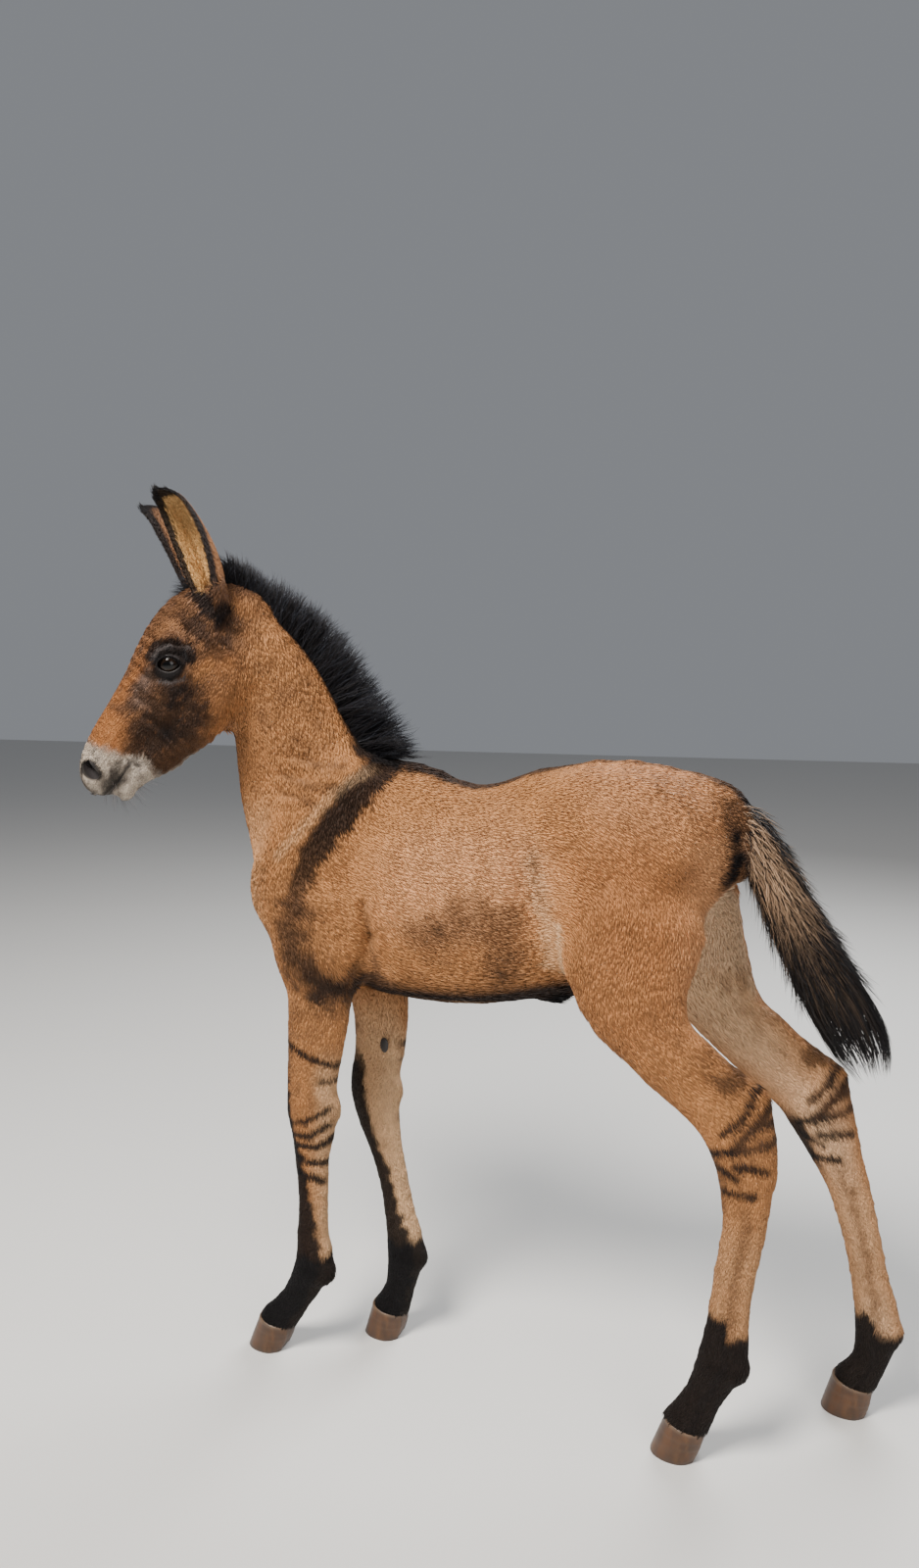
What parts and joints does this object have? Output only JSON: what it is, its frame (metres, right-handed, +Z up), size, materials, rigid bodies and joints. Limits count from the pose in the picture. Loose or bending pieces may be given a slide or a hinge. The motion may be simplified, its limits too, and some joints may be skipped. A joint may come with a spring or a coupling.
{
  "type": "mule foal",
  "caption": "Life-size standing mule foal with its head turned to its left, ears pricked and hind legs set back.",
  "frame": {"origin": "on the floor under the middle of the bounding box", "axes": "-X the way the foal faces, +Y its right side, +Z up"},
  "size_m": [1.1808, 0.3632, 1.3362],
  "materials": {
    "coat": "short golden dun coat, black points",
    "dark_hair": "coarse black hair",
    "ear_coat": "short brown coat, black rim",
    "horn": "dull brown hoof horn",
    "eye_dark": "wet and glossy"
  },
  "bodies": {
    "root": {"head": "coat", "neck": "coat", "torso": "coat", "tail": "dark_hair", "foreleg_left": "coat", "foreleg_right": "coat", "hindleg_left": "coat", "hindleg_right": "coat", "forehoof_left": "horn", "forehoof_right": "horn", "hindhoof_left": "horn", "hindhoof_right": "horn", "ear_left": "ear_coat", "ear_right": "ear_coat", "eye_left": "eye_dark", "eye_right": "eye_dark"}
  },
  "joints": []
}
